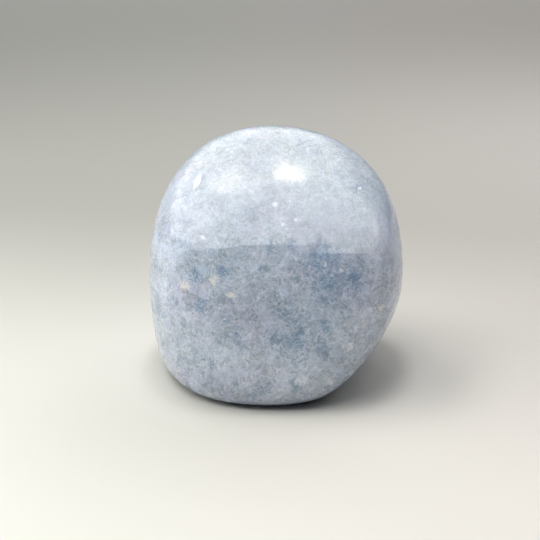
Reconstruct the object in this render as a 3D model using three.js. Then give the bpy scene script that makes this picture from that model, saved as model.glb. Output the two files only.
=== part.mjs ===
// A polished freeform of blue calcite: one solid stone, with a domed crown, a broad front that
// leans back, a long ground slope low on its right side and a flat base that it stands on.
// Millimetres, +Z up, +X to the viewer's right, -Y towards the viewer. The origin is on the
// surface that the stone stands on, under the middle of its width and depth.
//
// A stone like this starts as a rough lump. Flats are ground on it, and tumbling and polishing
// wear the edges between them round. The shape is made the same way: a tumbled lump and a set
// of flats, each as far out from one point inside the stone, its heart, as its own reach says,
// and blended so that no sharp edge is left between them.

import * as THREE from "three";
import { mergeVertices } from "three/addons/utils/BufferGeometryUtils.js";

// Driving dimensions: the stone's overall size once it is ground and polished.
const WIDTH = 101;
const DEPTH = 85.5;
const HEIGHT = 93.5;

// The heart is under the crown, which lies nearer the back than the front.
const HEART_HEIGHT = 32.5;

// The tumbled lump: upright sides, oval seen from above, under a high round dome.
const LUMP = { halfWidth: 51, front: 54, back: 39, dome: 83.5 };

// The ground flats. Azimuth turns from the right side (0) to the back (90) and the left (180),
// tilt is above the horizon, both in degrees, and reach is the distance from the heart.
const FLATS = {
  front: { azimuth: -90, tilt: 14, reach: 44 },
  brow: { azimuth: -92, tilt: 58, reach: 50 },
  rightShoulder: { azimuth: -8, tilt: 65, reach: 72.5 },
  leftShoulder: { azimuth: 180, tilt: 55, reach: 75.5 },
  rightSlope: { azimuth: -12, tilt: -42, reach: 44 },
  leftFoot: { azimuth: 186, tilt: -30, reach: 61.5 },
  backLeft: { azimuth: 132, tilt: 12, reach: 54 },
  back: { azimuth: 80, tilt: 8, reach: 40.5 },
  backRight: { azimuth: 38, tilt: 20, reach: 58 },
  nape: { azimuth: 92, tilt: 36, reach: 60 },
};

// How tightly the edges between neighbours are worn: a higher number leaves a narrower edge.
const EDGE_WEAR = 8;
const BASE_EDGE_WEAR = 8;
// The base is ground flat this far above the lowest point of the worn lump.
const BASE_CUT = 1.4;

// Slow swells that hand grinding leaves: height and length of each wave, and its direction.
const SWELLS = [
  { height: 0.15, length: 61, azimuth: 25, tilt: 35 },
  { height: 0.12, length: 47, azimuth: 115, tilt: -20 },
  { height: 0.1, length: 38, azimuth: -50, tilt: 65 },
];

// The faces are laid out as a cube's six sides, with this many squares along each edge. The
// rows from the bottom up to the base row lie on the flat base, and its rim follows that row.
const NET = 28;
const BASE_ROW = 3;
// How near two values are taken as the same: on the unit cube, and for its swings.
const SAME = 1e-5;

const POLISH = { color: 0xa9b6c8, roughness: 0.22, metalness: 0 };

function pointing(azimuth, tilt) {
  const a = THREE.MathUtils.degToRad(azimuth);
  const t = THREE.MathUtils.degToRad(tilt);
  return new THREE.Vector3(
    Math.cos(a) * Math.cos(t),
    Math.sin(a) * Math.cos(t),
    Math.sin(t),
  );
}

const flats = Object.values(FLATS).map(({ azimuth, tilt, reach }) => ({
  normal: pointing(azimuth, tilt),
  reach,
}));
const swells = SWELLS.map(({ height, length, azimuth, tilt }) => ({
  height,
  wave: pointing(azimuth, tilt).multiplyScalar((2 * Math.PI) / length),
}));

// How many times the lump's own reach fits into one unit along a direction.
function lumpShare(direction) {
  const halfDepth = direction.y < 0 ? LUMP.front : LUMP.back;
  return Math.hypot(
    direction.x / LUMP.halfWidth,
    direction.y / halfDepth,
    Math.max(direction.z, 0) / LUMP.dome,
  );
}

// Blends shares so that the largest rules and close ones round each other off.
function blended(shares, wear) {
  return shares.reduce((sum, share) => sum + share ** wear, 0) ** (1 / wear);
}

// The distance from the heart to the worn surface along a direction.
function reachAlong(direction) {
  const flatShares = flats.map(({ normal, reach }) =>
    Math.max(0, normal.dot(direction) / reach),
  );
  const sides = blended([lumpShare(direction), ...flatShares], EDGE_WEAR);
  const under = Math.max(0, -direction.z / HEART_HEIGHT);
  const reach = 1 / blended([sides, under], BASE_EDGE_WEAR);
  const swell = swells.reduce(
    (sum, { height, wave }) =>
      sum + height * Math.sin(wave.dot(direction) * reach),
    0,
  );
  return reach + swell;
}

// Directions are given by their turn round the upright axis and their swing up from straight
// down, both in radians.
function directionOf(turn, swing) {
  return new THREE.Vector3(
    Math.cos(turn) * Math.sin(swing),
    Math.sin(turn) * Math.sin(swing),
    -Math.cos(swing),
  );
}

const baseDrop = HEART_HEIGHT - BASE_CUT;

// The swing at which the worn surface meets the ground base, found by halving.
function rimSwing(turn) {
  let inside = 0;
  let outside = Math.PI / 2;
  while (outside - inside > SAME * SAME) {
    const swing = (inside + outside) / 2;
    const drop = reachAlong(directionOf(turn, swing)) * Math.cos(swing);
    if (drop > baseDrop) inside = swing;
    else outside = swing;
  }
  return inside;
}

// Spaces the cube's squares at even angles as seen from its centre.
function evened(value) {
  return Math.tan((value * Math.PI) / 4);
}

// The swing of a point of the cube's side wall at a height, in the same turn as a corner.
function wallSwing(across, along, height) {
  const wide = Math.max(Math.abs(across), Math.abs(along));
  const out = wide > 0 ? Math.hypot(across, along) / wide : 1;
  return Math.atan2(out, -height);
}

// Takes a corner of the cube's net to its place on the stone. What is swung lower than the
// base row goes on the flat base, and the rest is spread from the base's rim to the top.
function placed(corner) {
  const across = evened(corner.x);
  const along = evened(corner.y);
  const turn = Math.atan2(along, across);
  const swing = Math.atan2(Math.hypot(across, along), -evened(corner.z));
  const rowSwing = wallSwing(across, along, evened((2 * BASE_ROW) / NET - 1));
  const rim = rimSwing(turn);
  if (swing < rowSwing + SAME) {
    const onBase = Math.min(swing / rowSwing, 1) * rim;
    return directionOf(turn, onBase).multiplyScalar(baseDrop / Math.cos(onBase));
  }
  const climb = (swing - rowSwing) / (Math.PI - rowSwing);
  const direction = directionOf(turn, rim + climb * (Math.PI - rim));
  return direction.multiplyScalar(reachAlong(direction));
}

function stoneGeometry() {
  const cube = new THREE.BoxGeometry(2, 2, 2, NET, NET, NET);
  cube.deleteAttribute("normal");
  cube.deleteAttribute("uv");
  const net = mergeVertices(cube, SAME);
  const position = net.getAttribute("position");
  const corner = new THREE.Vector3();
  for (let i = 0; i < position.count; i++) {
    corner.fromBufferAttribute(position, i);
    position.setXYZ(i, ...placed(corner).toArray());
  }

  // Brings the worn shape to its overall size and puts it on its base over the origin.
  net.computeBoundingBox();
  const worn = net.boundingBox.getSize(new THREE.Vector3());
  const middle = net.boundingBox.getCenter(new THREE.Vector3());
  net.translate(-middle.x, -middle.y, worn.z / 2 - middle.z);
  net.scale(WIDTH / worn.x, DEPTH / worn.y, HEIGHT / worn.z);
  net.computeVertexNormals();
  return net;
}

const stone = new THREE.Mesh(
  stoneGeometry(),
  new THREE.MeshStandardMaterial(POLISH),
);
stone.name = "calcite_stone";

const specimen = new THREE.Group();
specimen.add(stone);

export default specimen;
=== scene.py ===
# %% [markdown]
# # A polished freeform of pale blue calcite
#
# The real object is one lump of massive calcite, a mass of interlocked grains a few millimetres
# across. It was ground and tumbled until it shone, and one side was ground flat to stand on.
# The packed model already has its shape and size. This lesson gives it a finer skin, a stone
# with grain and depth, and the soft light of a small studio table.

# %% Load the packed model
import math
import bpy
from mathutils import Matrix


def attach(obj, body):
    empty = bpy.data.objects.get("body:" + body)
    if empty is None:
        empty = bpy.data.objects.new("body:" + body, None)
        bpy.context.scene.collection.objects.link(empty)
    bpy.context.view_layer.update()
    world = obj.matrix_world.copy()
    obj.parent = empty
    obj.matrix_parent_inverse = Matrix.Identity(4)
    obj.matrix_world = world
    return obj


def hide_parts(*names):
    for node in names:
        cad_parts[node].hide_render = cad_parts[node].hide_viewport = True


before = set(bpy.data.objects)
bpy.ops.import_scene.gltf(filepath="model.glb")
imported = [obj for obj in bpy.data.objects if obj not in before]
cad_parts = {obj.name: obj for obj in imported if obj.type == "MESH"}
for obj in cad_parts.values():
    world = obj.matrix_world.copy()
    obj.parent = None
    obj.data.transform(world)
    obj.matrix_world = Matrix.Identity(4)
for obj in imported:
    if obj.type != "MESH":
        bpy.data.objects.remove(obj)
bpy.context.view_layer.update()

from types import SimpleNamespace

import bmesh
import bpy
from mathutils import Vector
from mathutils.bvhtree import BVHTree

MM = 0.001

# %% [markdown]
# ## The camera
#
# Comes first, because every look is judged through it. The photograph was taken from a little
# above, about 22 degrees, with the stone an arm's length away and slightly right of centre. A
# long lens keeps the sides of the stone as upright as they look there.

# %% Camera
CAMERA_ELEVATION = math.radians(22)
CAMERA_DISTANCE = 450 * MM
CAMERA_LENS = 75.9
CLIP_START = 10 * MM
CLIP_END = 30
AIM = Vector((-2.37 * MM, 0, 40 * MM))


def placed(name, data, place, towards):
    """Puts a camera or a light at a place, looking along a direction."""
    thing = bpy.data.objects.new(name, data)
    thing.location = place
    thing.rotation_mode = "QUATERNION"
    thing.rotation_quaternion = Vector(towards).to_track_quat("-Z", "Y")
    bpy.context.scene.collection.objects.link(thing)
    return thing


back_from_stone = Vector((0, -math.cos(CAMERA_ELEVATION), math.sin(CAMERA_ELEVATION)))
lens = bpy.data.cameras.new("camera")
lens.lens = CAMERA_LENS
lens.clip_start = CLIP_START
lens.clip_end = CLIP_END
camera = placed("camera", lens, AIM + back_from_stone * CAMERA_DISTANCE, -back_from_stone)
bpy.context.scene.camera = camera
bpy.context.scene.view_settings.view_transform = "Standard"
print("camera at", [round(c, 3) for c in camera.location])

# %% [markdown]
# ## Arithmetic with nodes
#
# The polishing, the materials and the lamps are all node trees, and long trees are hard to read
# as nodes. So one small class wraps a node's output, and plain arithmetic on it adds the Math or
# Vector Math nodes. Every other node comes from one method, which takes the node's type, its
# settings and what goes into its sockets.


# %% Wires
class Wire:
    """What comes out of a node. Arithmetic on it adds nodes."""

    def __init__(self, nodes, socket):
        self.nodes = nodes
        self.socket = socket
        self.has_parts = socket.type in ("VECTOR", "RGBA")

    def worked(self, operation, first, second):
        sides = [side for side in (first, second) if isinstance(side, Wire)]
        vectors = any(side.has_parts for side in sides)
        kind = "ShaderNodeVectorMath" if vectors else "ShaderNodeMath"
        return self.nodes.add(kind, {"operation": operation}, {0: first, 1: second})

    def __add__(self, other):
        return self.worked("ADD", self, other)

    def __radd__(self, other):
        return self.worked("ADD", other, self)

    def __sub__(self, other):
        return self.worked("SUBTRACT", self, other)

    def __rsub__(self, other):
        return self.worked("SUBTRACT", other, self)

    def __mul__(self, other):
        return self.worked("MULTIPLY", self, other)

    def __rmul__(self, other):
        return self.worked("MULTIPLY", other, self)

    def __truediv__(self, other):
        return self.worked("DIVIDE", self, other)

    def __rtruediv__(self, other):
        return self.worked("DIVIDE", other, self)

    def __abs__(self):
        return self.worked("ABSOLUTE", self, 0)


print("a wire knows:", [name for name in vars(Wire) if callable(getattr(Wire, name))])


# %% Nodes
def chosen(sockets, name):
    """Finds a socket by its number, or the live one by its name."""
    if isinstance(name, int):
        return sockets[name]
    return next(s for s in sockets if s.name == name and s.enabled)


class Nodes:
    """A node tree, with one method that adds any node to it."""

    def __init__(self, tree):
        self.tree = tree

    def add(self, kind, settings, feeds, give=0):
        node = self.tree.nodes.new(kind)
        for name, value in settings.items():
            setattr(node, name, value)
        for name, value in feeds.items():
            self.feed(chosen(node.inputs, name), value)
        return Wire(self, chosen(node.outputs, give))

    def feed(self, socket, value):
        if isinstance(value, Wire):
            self.tree.links.new(value.socket, socket)
        elif socket.type == "VECTOR" and isinstance(value, (int, float)):
            socket.default_value = (value, value, value)
        elif socket.type == "RGBA":
            socket.default_value = (*value, 1)
        else:
            socket.default_value = value


def clouds(place, size, detail=2.0, roughness=0.5, give=0):
    """Soft noise around a half, whose lumps are about one size across."""
    feeds = {"Vector": place, "Scale": 1 / size, "Detail": detail, "Roughness": roughness}
    return place.nodes.add("ShaderNodeTexNoise", {}, feeds, give)


def eased(value, low, high, start=0.0, end=1.0):
    """Goes smoothly from start to end while the value goes from low to high."""
    feeds = {"Value": value, "From Min": low, "From Max": high, "To Min": start, "To Max": end}
    settings = {"interpolation_type": "SMOOTHSTEP"}
    return value.nodes.add("ShaderNodeMapRange", settings, feeds, "Result")


def axis(place, name):
    """One of the three numbers of a place."""
    return place.nodes.add("ShaderNodeSeparateXYZ", {}, {0: place}, name)


print("helpers on wires:", [helper.__name__ for helper in (clouds, eased, axis)])

# %% [markdown]
# ## The stone's skin
#
# The packed stone is made of flat triangles, which would show in a mirror-like polish. The real
# one is smooth, but not perfectly so: hand polishing leaves slow waves, a few tenths of a
# millimetre deep, which bend the reflections. A subdivided mesh could be sculpted by hand, but
# the rule is simple, so Geometry Nodes do it: subdivide, raise the skin a tenth of a millimetre
# along its normal, and press it in again by soft noise. The raise makes up for what subdividing
# and pressing take away, and the finished box still lies inside the packed one. Both fade out
# near the foot, where the base must stay flat.

# %% A merged copy of the packed stone
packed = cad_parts["calcite_stone"].data
WELD = 0.001 * MM
MOST_BENT_PAIR = math.radians(40)
MOST_SKEWED_PAIR = math.radians(70)


def welded_quads(source, name):
    """Copies loose triangles into a mesh that is joined up, in quads where pairs fit."""
    copy = bpy.data.meshes.new(name)
    faces = [polygon.vertices[:] for polygon in source.polygons]
    copy.from_pydata([vertex.co[:] for vertex in source.vertices], [], faces)
    net = bmesh.new()
    net.from_mesh(copy)
    bmesh.ops.remove_doubles(net, verts=net.verts, dist=WELD)
    bmesh.ops.join_triangles(
        net,
        faces=net.faces,
        angle_face_threshold=MOST_BENT_PAIR,
        angle_shape_threshold=MOST_SKEWED_PAIR,
    )
    net.to_mesh(copy)
    net.free()
    return copy


rough = bpy.data.objects.new("rough_stone", welded_quads(packed, "rough_stone"))
bpy.context.scene.collection.objects.link(rough)
print("rough stone:", len(rough.data.vertices), "vertices,", len(rough.data.polygons), "faces")

# %% What the polishing tree is given
LENGTHS = ("Wave depth", "Wave size", "Ripple depth", "Ripple size", "Rise", "Foot")


def polishing_sockets(face):
    """Names what goes into the polishing tree and what comes out."""
    face.new_socket(name="Stone", in_out="INPUT", socket_type="NodeSocketGeometry")
    face.new_socket(name="Smoothing", in_out="INPUT", socket_type="NodeSocketInt")
    for name in LENGTHS:
        face.new_socket(name=name, in_out="INPUT", socket_type="NodeSocketFloat")
    face.new_socket(name="Shift", in_out="INPUT", socket_type="NodeSocketVector")
    face.new_socket(name="Finish", in_out="INPUT", socket_type="NodeSocketMaterial")
    face.new_socket(name="Stone", in_out="OUTPUT", socket_type="NodeSocketGeometry")


print("lengths to give:", ", ".join(LENGTHS))

# %% The polishing tree
DENT_RANGE = (0.2, 0.8)


def dents(place, size, depth):
    """Soft dents about one size across and at most one depth deep."""
    return eased(clouds(place, size, detail=0.0), *DENT_RANGE) * depth


def polishing_tree():
    """A tree that subdivides a stone and presses slow waves into its skin."""
    tree = bpy.data.node_groups.new("polishing", "GeometryNodeTree")
    polishing_sockets(tree.interface)
    nodes = Nodes(tree)
    entry = tree.nodes.new("NodeGroupInput")
    given = {socket.name: Wire(nodes, socket) for socket in entry.outputs if socket.name}
    place = nodes.add("GeometryNodeInputPosition", {}, {})
    normal = nodes.add("GeometryNodeInputNormal", {}, {})

    shifted = place + given["Shift"]
    dips = dents(shifted, given["Wave size"], given["Wave depth"])
    dips = dips + dents(shifted, given["Ripple size"], given["Ripple depth"])
    outwards = normal * ((given["Rise"] - dips) * eased(axis(place, "Z"), 0, given["Foot"]))

    finer = {"Mesh": given["Stone"], "Level": given["Smoothing"]}
    smooth = nodes.add("GeometryNodeSubdivisionSurface", {}, finer)
    waved = nodes.add("GeometryNodeSetPosition", {}, {"Geometry": smooth, "Offset": outwards})
    shaded = nodes.add("GeometryNodeSetShadeSmooth", {}, {0: waved})
    whole = nodes.add("GeometryNodeRealizeInstances", {}, {0: shaded})
    dressed = nodes.add("GeometryNodeSetMaterial", {}, {0: whole, "Material": given["Finish"]})
    leave = tree.nodes.new("NodeGroupOutput")
    nodes.feed(leave.inputs["Stone"], dressed)
    return tree


polishing_rule = polishing_tree()
print("polishing tree:", len(polishing_rule.nodes), "nodes")

# %% [markdown]
# ## The calcite
#
# Massive calcite is a crowd of clear grains, and each boundary between two grains scatters a
# little light. So the stone looks cloudy: pale where boundaries are many, deep blue where a
# clear grain lets the light sink in, and webbed with fine white threads where the boundaries
# come up to the skin. It could be made as true volume, which is slow and noisy, or painted from
# pictures, which would wrap badly round a lump. Here it is layered noise in the base colour:
# the pattern lives in the space that the stone fills, so it runs through it like real grain. A
# touch of subsurface scattering softens the shading, as the clear grains do.

# %% The calcite's colours and sizes
DEEP_BLUE = (0.185, 0.285, 0.43)
LAVENDER = (0.405, 0.450, 0.565)
GREY_BLUE = (0.387, 0.457, 0.556)
MILKY = (0.52, 0.59, 0.69)
THREAD_WHITE = (0.80, 0.83, 0.88)
CREAM = (0.92, 0.90, 0.80)
PALE_LAVENDER = (0.50, 0.53, 0.66)
# Darker than the stone below it: partly the crown's own grey tone, partly painted shade on the top.
CROWN_GREY_SHADE = (0.36, 0.40, 0.445)

TINT_SIZE = 30 * MM
MILK_SIZE = 15 * MM
CLOUD_SIZE = 9 * MM
BIG_GRAIN = 4.4 * MM
SMALL_GRAIN = 1.7 * MM
SUGAR_SIZE = 0.9 * MM
print("grains in mm:", [round(size / MM, 1) for size in (BIG_GRAIN, SMALL_GRAIN, SUGAR_SIZE)])


# %% Colours laid over each other
def mixed(amount, under, over):
    """Lays one colour over another by an amount from 0 to 1."""
    feeds = {0: amount, 6: under, 7: over}
    return amount.nodes.add("ShaderNodeMix", {"data_type": "RGBA"}, feeds, 2)


def swing(noise, amount):
    """Turns noise around a half into a swing around nought."""
    return (noise - 0.5) * (2 * amount)


def part(colour, name):
    """One of a colour's three numbers."""
    return colour.nodes.add("ShaderNodeSeparateColor", {}, {0: colour}, name)


print("colour helpers:", [helper.__name__ for helper in (mixed, swing, part)])


# %% Grains, threads and spots
def grains(place, size):
    """A random colour for each grain."""
    feeds = {"Vector": place, "Scale": 1 / size}
    return place.nodes.add("ShaderNodeTexVoronoi", {"feature": "F1"}, feeds, "Color")


def seams(place, size, width):
    """Thin lines along the boundaries between grains."""
    settings = {"feature": "DISTANCE_TO_EDGE"}
    feeds = {"Vector": place, "Scale": 1 / size}
    gap = place.nodes.add("ShaderNodeTexVoronoi", settings, feeds, "Distance")
    return eased(gap, 0, width / size, 1, 0)


def hairs(noise, width):
    """Thin lines where noise crosses a half."""
    return eased(abs(noise - 0.5), 0, width, 1, 0)


SPOT_HEART = 0.25
SPOT_RIM = 1.3


def ragged_spot(place, middle, radius, rag):
    """A ragged spot: 1 in its heart, and 0 past its rim."""
    settings = {"operation": "DISTANCE"}
    away = place.nodes.add("ShaderNodeVectorMath", settings, {0: place, 1: middle}, "Value")
    return eased(away + rag * radius, SPOT_HEART * radius, SPOT_RIM * radius, 1, 0)


print("pattern helpers:", [helper.__name__ for helper in (grains, seams, hairs, ragged_spot)])

# %% [markdown]
# ## Patches that this stone is known by
#
# Most of the grain may fall where it likes, but a few patches are what one would know this
# stone by: clear dark blue windows on the front, cream spots on the left and some bright
# flecks. Broader still are two shades, where the stone is deeper, and two veils, where it is
# paler. Each is given by how far right of the middle and how high up it lies on the front and
# by its radius, in millimetres, and a ray from the front finds its place on the skin.

# %% Dark windows
WINDOWS = {
    "darkest": (18.6, 47.6, 5.2),
    "under the line": (16.7, 57.0, 6.5),
    "right of the darkest": (29.3, 48.6, 3.6),
    "low right": (18.3, 32.3, 3.2),
    "low middle": (6.2, 27.9, 4.2),
    "on the line": (5.8, 62.1, 2.6),
    "left on the line": (-1.8, 61.1, 2.4),
    "left": (-19.7, 52.7, 3.0),
    "far left": (-30.1, 49.7, 2.8),
    "left of the middle": (-27.9, 40.3, 2.8),
    "low left": (-14.7, 29.5, 3.6),
    "small": (-4.7, 53.7, 1.6),
}
print("windows:", len(WINDOWS))

# %% Cream spots and bright flecks
CREAM_SPOTS = {
    "left": (-33.9, 46.2, 2.1),
    "middle": (-23.0, 49.4, 1.9),
    "right": (-16.4, 44.4, 1.5),
    "on the right edge": (39.2, 36.5, 1.6),
}
FLECKS = {
    "over the line": (-0.4, 74.1, 1.2),
    "upper right": (31.1, 77.3, 0.8),
    "beside the middle": (7.3, 69.5, 0.8),
    "middle": (2.6, 68.3, 0.9),
    "left": (-24.1, 56.1, 0.6),
    "in the window": (17.8, 55.0, 0.7),
    "right of the window": (23.7, 53.0, 0.8),
    "over the left window": (-27.1, 63.1, 1.0),
    "low right": (27.4, 24.0, 1.6),
    "near the foot": (8.9, 13.0, 2.2),
    "near the foot, right": (20.1, 10.9, 1.8),
}
print("cream spots:", len(CREAM_SPOTS), "and flecks:", len(FLECKS))

# %% Shades and veils
SHADES = {
    "under the line": (21, 51, 15),
    "low middle": (7, 30, 10),
}
VEILS = {
    "over the line": (19.7, 66, 14),
    "right side": (43, 60, 13),
}
print("shades:", len(SHADES), "and veils:", len(VEILS))

# %% Places on the front
IN_FRONT = -200 * MM
stone_shape = BVHTree.FromPolygons(
    [vertex.co for vertex in packed.vertices], [polygon.vertices for polygon in packed.polygons]
)


def on_front(right, up):
    """The point of the skin that lies this far right and up, as seen from the front."""
    start = Vector((right * MM, IN_FRONT, up * MM))
    return stone_shape.ray_cast(start, Vector((0, 1, 0)))[0]


def spots(place, patches, rag):
    """All the spots of a set, as one mask."""
    return sum(
        ragged_spot(place, on_front(right, up), radius * MM, rag)
        for right, up, radius in patches.values()
    )


darkest_right, darkest_up, darkest_radius = WINDOWS["darkest"]
print("the darkest window lies at", [round(c / MM, 1) for c in on_front(darkest_right, darkest_up)])

# %% [markdown]
# ## The layers of the stone
#
# Straight noise looks like noise. Real grain has been squeezed and healed, so every layer reads
# a place that slower and quicker noise has bent first. The layers then go from broad to fine:
# tints as wide as a thumb, clouds and grains, threads, and last the specks. Near the crown the
# real stone is calmer, so there the contrast is turned down.

# %% Noises that several layers share
MIDDLE_GREY = (0.5, 0.5, 0.5)
SLOW_BEND_SIZE = 8 * MM
SLOW_BEND = 7 * MM
QUICK_BEND_SIZE = 1.6 * MM
QUICK_BEND = 2.6 * MM
EDGE_BEND = 2.0 * MM
SUGAR_BEND = 1.2 * MM
MILK_SHIFT = (0.1, 0.2, 0.3)
RAG_SIZE = 2.2 * MM
RAG_SWING = 1.4
ZONE_RAG = 0.5
CALM_HEIGHTS = (50 * MM, 75 * MM)
CROWN_CALM = 0.55
VEIL_CALM = 0.4


def shared_noises(place):
    """
    Milk, cloud and sugar go from broad noise to fine. Rag frays the edges of spots, and calm
    turns the contrast down, near the crown and under the veils.
    """
    slow = clouds(place, SLOW_BEND_SIZE, give="Color") - MIDDLE_GREY
    quick = clouds(place, QUICK_BEND_SIZE, detail=3.0, roughness=0.6, give="Color") - MIDDLE_GREY
    noise = SimpleNamespace(place=place, height=axis(place, "Z"))
    noise.bent = place + slow * SLOW_BEND + quick * QUICK_BEND
    noise.ragged = place + quick * EDGE_BEND
    noise.milk = clouds(noise.bent + MILK_SHIFT, MILK_SIZE)
    noise.cloud = clouds(noise.bent, CLOUD_SIZE, detail=5.0, roughness=0.8)
    noise.sugar = clouds(place + quick * SUGAR_BEND, SUGAR_SIZE, roughness=0.7)
    noise.rag = swing(clouds(noise.bent, RAG_SIZE), RAG_SWING)
    noise.veil = spots(noise.ragged, VEILS, noise.rag * ZONE_RAG)
    calm = eased(noise.height, *CALM_HEIGHTS, 1, CROWN_CALM)
    noise.calm = calm * (1 - noise.veil * VEIL_CALM)
    return noise


print("contrast left at the crown:", CROWN_CALM)

# %% Broad tints
TINT_RANGE = (0.40, 0.60)
MILK_RANGE = (0.42, 0.72)
CROWN_HEIGHTS = (60 * MM, 90 * MM)
MILK_SHOWS = 0.4
SHADE_SHOWS = 0.35
VEIL_SHOWS = 0.35
CROWN_SHADE_SHOWS = 0.75


def broad_tints(noise):
    """Lavender and grey blue, milky zones, shades, veils, and a grey crown, partly painted shade.
    """
    shade = spots(noise.ragged, SHADES, noise.rag * ZONE_RAG)
    crown = eased(noise.height, *CROWN_HEIGHTS)
    colour = mixed(eased(clouds(noise.bent, TINT_SIZE), *TINT_RANGE), LAVENDER, GREY_BLUE)
    colour = mixed(eased(noise.milk, *MILK_RANGE) * MILK_SHOWS, colour, MILKY)
    colour = mixed(shade * SHADE_SHOWS, colour, DEEP_BLUE)
    colour = mixed(noise.veil * VEIL_SHOWS, colour, PALE_LAVENDER)
    # Near the top the colour turns darker grey: partly the crown's own tone, partly painted shade.
    return mixed(crown * CROWN_SHADE_SHOWS, colour, CROWN_GREY_SHADE)


# From these heights up the crown turns darker grey, partly painted shade.
print("the crown pales from", [round(height / MM) for height in CROWN_HEIGHTS], "mm up")

# %% Clouds and clear grains
SMALL_GRAIN_SHIFT = (0.05, 0.0, 0.02)
CLOUD_SWING = 0.50
BIG_GRAIN_SWING = 0.08
SMALL_GRAIN_SWING = 0.16
SUGAR_SWING = 0.3
CLEAR_SWING = 0.9
CLEAR_RANGE = (0.85, 1.10)
CLEAR_SHOWS = 0.5
WINDOW_SHOWS = 0.8


def grained(colour, noise):
    """Makes each grain a little lighter or darker, and clear grains and windows deep blue."""
    big = grains(noise.bent, BIG_GRAIN)
    small = grains(noise.bent + SMALL_GRAIN_SHIFT, SMALL_GRAIN)
    light = swing(noise.cloud, CLOUD_SWING) + swing(part(big, "Red"), BIG_GRAIN_SWING)
    light = light + swing(part(small, "Red"), SMALL_GRAIN_SWING) + swing(noise.sugar, SUGAR_SWING)
    colour = colour * (1 + light * noise.calm)
    clear = eased(part(big, "Green") - swing(noise.cloud, CLEAR_SWING), *CLEAR_RANGE)
    colour = mixed(clear * noise.calm * CLEAR_SHOWS, colour, DEEP_BLUE)
    return mixed(spots(noise.ragged, WINDOWS, noise.rag) * WINDOW_SHOWS, colour, DEEP_BLUE)


print("windows show by", WINDOW_SHOWS)

# %% White threads
THREAD_WIDTH = 0.30 * MM
WIDE_THREAD_WIDTH = 0.45 * MM
BREAK_SIZE = 3.2 * MM
BREAK_RANGE = (0.45, 0.62)
WIDE_WEB_RANGE = (0.36, 0.60)
HAIR_SIZE = 3.0 * MM
HAIR_SHIFT = (0.3, 0.1, 0.2)
HAIR_WIDTH = 0.010
HAIR_RANGE = (0.42, 0.56)
SQUIGGLE_SIZE = 1.8 * MM
SQUIGGLE_SHIFT = (0.1, 0.4, 0.3)
SQUIGGLE_WIDTH = 0.015
WEB_SHOWS = 0.5
WIDE_WEB_SHOWS = 0.2
HAIR_SHOWS = 0.9
SQUIGGLE_SHOWS = 0.8


def threaded(colour, noise):
    """White webs along the grains, and hairs and squiggles, each broken here and there."""
    unbroken = eased(clouds(noise.place, BREAK_SIZE), *BREAK_RANGE)
    web = seams(noise.bent, SMALL_GRAIN, THREAD_WIDTH) * unbroken
    wide_web = seams(noise.bent, BIG_GRAIN, WIDE_THREAD_WIDTH) * eased(noise.milk, *WIDE_WEB_RANGE)
    hair = hairs(clouds(noise.bent + HAIR_SHIFT, HAIR_SIZE, detail=3.0), HAIR_WIDTH)
    hair = hair * eased(noise.cloud, *HAIR_RANGE)
    squiggle = hairs(clouds(noise.bent + SQUIGGLE_SHIFT, SQUIGGLE_SIZE), SQUIGGLE_WIDTH)
    squiggle = squiggle * (1 - unbroken)
    colour = mixed(web * noise.calm * WEB_SHOWS, colour, THREAD_WHITE)
    colour = mixed(wide_web * noise.calm * WIDE_WEB_SHOWS, colour, THREAD_WHITE)
    colour = mixed(hair * noise.calm * HAIR_SHOWS, colour, THREAD_WHITE)
    return mixed(squiggle * noise.calm * SQUIGGLE_SHOWS, colour, THREAD_WHITE)


print("threads in mm:", [round(width / MM, 2) for width in (THREAD_WIDTH, WIDE_THREAD_WIDTH)])

# %% Specks, cream spots and flecks
SPECK_RANGE = (0.60, 0.74)
SPECK_SHOWS = 0.3
CREAM_SHOWS = 0.65
FLECK_SHOWS = 0.7


def speckled(colour, noise):
    """Specks as fine as sugar all over, then the cream spots and the bright flecks."""
    colour = mixed(eased(noise.sugar, *SPECK_RANGE) * SPECK_SHOWS, colour, THREAD_WHITE)
    colour = mixed(spots(noise.ragged, CREAM_SPOTS, noise.rag) * CREAM_SHOWS, colour, CREAM)
    return mixed(spots(noise.ragged, FLECKS, noise.rag) * FLECK_SHOWS, colour, THREAD_WHITE)


print("layers:", [layer.__name__ for layer in (broad_tints, grained, threaded, speckled)])

# %% The calcite itself
PULL_SIZE = 5 * MM
PULL_DEPTH = 0.012 * MM
CLOUDY_RANGE = (0.3, 0.7)
POLISH = (0.02, 0.05)
STONE_IOR = 1.6
SCATTERED = 0.15
SCATTER_REACH = 2 * MM


def calcite():
    """The finish: the layers as its colour, under a polish that is not quite even."""
    material = bpy.data.materials.new("calcite")
    material.use_nodes = True
    nodes = Nodes(material.node_tree)
    noise = shared_noises(nodes.add("ShaderNodeTexCoord", {}, {}, "Object"))
    colour = speckled(threaded(grained(broad_tints(noise), noise), noise), noise)
    pull = clouds(noise.place, PULL_SIZE, detail=1.0) * PULL_DEPTH
    bump = nodes.add("ShaderNodeBump", {}, {"Height": pull, "Distance": 1.0}, "Normal")
    shader = material.node_tree.nodes["Principled BSDF"]
    nodes.feed(shader.inputs["Base Color"], colour)
    nodes.feed(shader.inputs["Roughness"], eased(noise.cloud, *CLOUDY_RANGE, *POLISH))
    nodes.feed(shader.inputs["Normal"], bump)
    shader.inputs["IOR"].default_value = STONE_IOR
    shader.inputs["Subsurface Weight"].default_value = SCATTERED
    shader.inputs["Subsurface Scale"].default_value = SCATTER_REACH
    return material


calcite_finish = calcite()
print("calcite:", len(calcite_finish.node_tree.nodes), "nodes")

# %% Polish the stone
SMOOTHING = 2
WAVE_DEPTH = 0.22 * MM
WAVE_SIZE = 34 * MM
RIPPLE_DEPTH = 0.09 * MM
RIPPLE_SIZE = 11 * MM
RISE = 0.11 * MM
FOOT = 6 * MM
SHIFT = Vector((0.31, -0.17, 0.08))

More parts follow.
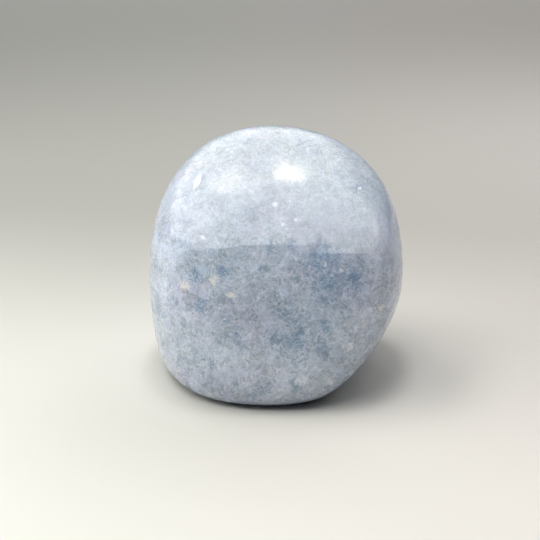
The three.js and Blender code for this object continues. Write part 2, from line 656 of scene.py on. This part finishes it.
polishing = rough.modifiers.new("polishing", "NODES")
polishing.node_group = polishing_rule
sizes = {
    "Smoothing": SMOOTHING,
    "Wave depth": WAVE_DEPTH,
    "Wave size": WAVE_SIZE,
    "Ripple depth": RIPPLE_DEPTH,
    "Ripple size": RIPPLE_SIZE,
    "Rise": RISE,
    "Foot": FOOT,
    "Shift": SHIFT,
    "Finish": calcite_finish,
}
for socket in polishing.node_group.interface.items_tree:
    if socket.in_out == "INPUT" and socket.name in sizes:
        polishing[socket.identifier] = sizes[socket.name]

seen = rough.evaluated_get(bpy.context.evaluated_depsgraph_get())
skin = bpy.data.meshes.new_from_object(seen)
skin.name = "polished_stone"
polished = bpy.data.objects.new("polished_stone", skin)
bpy.context.scene.collection.objects.link(polished)
bpy.data.objects.remove(rough)
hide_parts("calcite_stone")
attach(polished, "root")
print("polished stone:", len(skin.polygons), "faces, materials", [m.name for m in skin.materials])

# %% [markdown]
# ## The table
#
# A plain pale sheet lies under the stone and runs far back. It darkens towards the back, and
# a little towards the right. That could be done with lamps alone, but it would take many, so
# the paper itself is darker there: a painted falloff of light in its colour. It belongs to the
# picture and not to the part.

# %% The paper
LEFT_TINT = (1.0, 1.0, 0.95)
RIGHT_TINT = (1.03, 0.99, 0.95)
TINT_TURNS = (-0.1, 0.15)
# Painted falloff of light: the paper darkens towards the back, and a little towards the right.
DARKENS_BACKWARDS = (0.2, -0.2)
PAINTED_FALLOFF = (0.355, 0.845)
SLANT = 0.12
PAPER_ROUGHNESS = 0.9


def paper():
    """Dull paper, a little warmer to the right, with painted light falloff darker towards the back.
    """
    material = bpy.data.materials.new("paper")
    material.use_nodes = True
    nodes = Nodes(material.node_tree)
    place = nodes.add("ShaderNodeTexCoord", {}, {}, "Object")
    sideways = axis(place, "X")
    backwards = axis(place, "Y")
    # The paper's colour carries painted falloff of light, darker towards the back and the right.
    painted_falloff = eased(backwards + sideways * SLANT, *DARKENS_BACKWARDS, *PAINTED_FALLOFF)
    tint = mixed(eased(sideways, *TINT_TURNS), LEFT_TINT, RIGHT_TINT)
    shader = material.node_tree.nodes["Principled BSDF"]
    nodes.feed(shader.inputs["Base Color"], tint * painted_falloff)
    shader.inputs["Roughness"].default_value = PAPER_ROUGHNESS
    shader.inputs["Specular IOR Level"].default_value = 0
    return material


# %% The table
TABLE_HALF = 6.0
CORNERS = ((-1, -1), (1, -1), (1, 1), (-1, 1))

sheet = bpy.data.meshes.new("table")
sheet.from_pydata([(x * TABLE_HALF, y * TABLE_HALF, 0) for x, y in CORNERS], [], [(0, 1, 2, 3)])
sheet.materials.append(paper())
table = bpy.data.objects.new("table", sheet)
bpy.context.scene.collection.objects.link(table)
print("table:", 2 * TABLE_HALF, "m square")

# %% [markdown]
# ## The light
#
# A polished stone shows two things at once: how much light falls on it, and a mirror picture of
# the lamps. In a studio one set of lamps and screens has to do both. Here they are kept apart,
# because then each can be tuned alone: some lamps only light, and shape the shadow, and some
# only shine, and show in the polish. All are flat soft panels in a tent round the stone.
#
# A ray that meets two panels at one height sees only one of them, so panels that overlap lie at
# slightly different heights.

# %% Panels of light
DOWN = (0, 0, -1)
WHITE = (1.0, 1.0, 1.0)
WARM = (1.02, 1.0, 0.94)
COOL = (0.98, 1.0, 1.02)
CREAMY = (1.05, 0.99, 0.86)
CRISP = 1.01


def fading(nodes, fade, soft, corner):
    """How strongly a panel shines at each place on it."""
    spot = nodes.add("ShaderNodeNewGeometry", {}, {}, "Parametric")
    across = axis(spot, "X")
    along = axis(spot, "Y")
    strength = eased(across, 0, 1, 1, fade)
    for edge, share in zip((across, 1 - across, along, 1 - along), soft):
        if share:
            strength = strength * eased(edge, 0, share)
    if corner:
        strength = strength * eased(across / corner[0] + along / corner[1], 1, CRISP)
    return strength


def panel(
    name, middle, size, radiance, sees, towards=DOWN, colour=WHITE, fade=1.0, soft=(), corner=None
):
    """
    A flat soft light of a width and a depth, as bright as a radiance says. It lights only, or
    shines in the polish only. It may fade from its left side to its right one, be soft over a
    share of its size at its left, right, near and far sides, and have its near left corner cut
    off, by a share of its width and of its depth.
    """
    light = bpy.data.lights.new(name, "AREA")
    light.shape = "RECTANGLE"
    light.size, light.size_y = size
    light.energy = radiance * math.pi * size[0] * size[1]
    light.color = colour
    light.use_nodes = True
    nodes = Nodes(light.node_tree)
    strength = fading(nodes, fade, soft, corner)
    nodes.feed(light.node_tree.nodes["Emission"].inputs["Strength"], strength)
    thing = placed(name, light, middle, towards)
    thing.visible_glossy = sees != "light"
    thing.visible_diffuse = sees != "shine"
    return thing


print("lamp colours:", WARM, COOL, CREAMY)

# %% Lamps overhead that light
OVERHEAD = 800 * MM
STONE_HEART = 30 * MM


def overhead(name, lean, span, radiance, colour=WHITE):
    """A panel overhead. Lean and span are its place and size for each unit of height."""
    rise = OVERHEAD - STONE_HEART
    panel(
        name,
        middle=(lean[0] * rise, lean[1] * rise, OVERHEAD),
        size=(span[0] * rise, span[1] * rise),
        radiance=radiance,
        sees="light",
        towards=(-lean[0], -lean[1], -1),
        colour=colour,
    )


overhead("lamp_over", lean=(0.0, 0.16), span=(0.2, 0.2), radiance=21, colour=WARM)
overhead("lamp_left", lean=(-0.45, 0.28), span=(0.5, 0.25), radiance=8.6, colour=WARM)
overhead("lamp_front", lean=(-0.15, -0.25), span=(0.35, 0.35), radiance=5.2, colour=COOL)
overhead("lamp_side", lean=(-0.6, -0.15), span=(0.35, 0.35), radiance=7.5, colour=WARM)
print("lamps overhead:", [lamp.name for lamp in bpy.data.lights])

# %% Screens that light
ROOF = 320 * MM
LIT_ROOF = ROOF + 10 * MM

panel(
    "window_left",
    middle=(-0.5, 0.05, 0.25),
    size=(0.3, 0.3),
    radiance=5.4,
    sees="light",
    towards=(1, 0, 0),
    colour=WARM,
)
panel(
    "roof_back_right",
    middle=(0.46, 0.275, LIT_ROOF),
    size=(0.78, 0.35),
    radiance=2.0,
    sees="light",
)
roof_light = panel(
    "roof_light",
    middle=(0, -0.17, LIT_ROOF),
    size=(1.7, 0.54),
    radiance=0.39,
    sees="light",
    colour=COOL,
)
front_light = panel(
    "front_light",
    middle=(-0.2, -0.9, 0.35),
    size=(1.4, 0.6),
    radiance=0.32,
    sees="light",
    towards=(0.1, 1, -0.2),
    colour=COOL,
)
panel(
    "far_light",
    middle=(0, 1.6, 0.9),
    size=(3.0, 1.6),
    radiance=1.75,
    sees="light",
)

# Two of them light the stone alone, so that the shadow at its foot stays dark.
stone_only = bpy.data.collections.new("stone_only")
stone_only.objects.link(polished)
for fill in (front_light, roof_light):
    fill.light_linking.receiver_collection = stone_only
print("only on the stone:", front_light.name, "and", roof_light.name)

# %% The bright roof in the polish
# The left roof ends in a cut corner and the right one in a straight edge, and together they draw
# the line across the front of the stone. Where the two meet, one fades out as the other fades in.
RIGHT_ROOF = ROOF - 1 * MM
EDGE_ROOF = ROOF - 3 * MM

panel(
    "roof_left",
    middle=(-1.165, 0.065, ROOF),
    size=(2.67, 0.90),
    radiance=2.1,
    sees="shine",
    colour=WARM,
    soft=(0.3, 0.038, 0, 0.3),
    corner=(0.83, 1.5),
)
panel(
    "roof_right",
    middle=(0.5845, -0.2, RIGHT_ROOF),
    size=(1.031, 0.60),
    radiance=2.7,
    sees="shine",
    colour=WARM,
    fade=0.6,
    soft=(0.098, 0.05, 0, 0.2),
)
panel(
    "wall_right",
    middle=(0.45, -0.05, 0.19),
    size=(0.6, 0.26),
    radiance=1.0,
    sees="shine",
    towards=(-1, 0, 0),
    soft=(0.3, 0.3, 0, 0),
)
panel(
    "edge_middle",
    middle=(-0.11, -0.378, EDGE_ROOF),
    size=(0.34, 0.014),
    radiance=2.2,
    sees="shine",
    soft=(0.2, 0.2, 0, 0),
)
panel(
    "edge_right",
    middle=(0.46, -0.492, EDGE_ROOF),
    size=(0.86, 0.016),
    radiance=2.2,
    sees="shine",
    soft=(0.1, 0.2, 0, 0),
)
print("roof in the polish:", round(ROOF / MM), "mm up")

# %% Three highlights in the polish
GLINT_ROOF = ROOF - 5 * MM
SOFT_ALL_ROUND = (0.5, 0.5, 0.5, 0.5)
CRISP_ALL_ROUND = (0.1, 0.1, 0.1, 0.1)

panel(
    "glint_broad",
    middle=(-0.08, 0.022, GLINT_ROOF),
    size=(0.15, 0.11),
    radiance=4.0,
    sees="shine",
    colour=CREAMY,
    soft=SOFT_ALL_ROUND,
)
panel(
    "glint_small",
    middle=(0.012, 0.043, GLINT_ROOF),
    size=(0.056, 0.07),
    radiance=7.5,
    sees="shine",
    colour=CREAMY,
    soft=SOFT_ALL_ROUND,
)
panel(
    "glint_oval",
    middle=(-0.183, 0.077, GLINT_ROOF),
    size=(0.04, 0.032),
    radiance=28,
    sees="shine",
    soft=CRISP_ALL_ROUND,
)
print("lamps in all:", len(bpy.data.lights))

# %% [markdown]
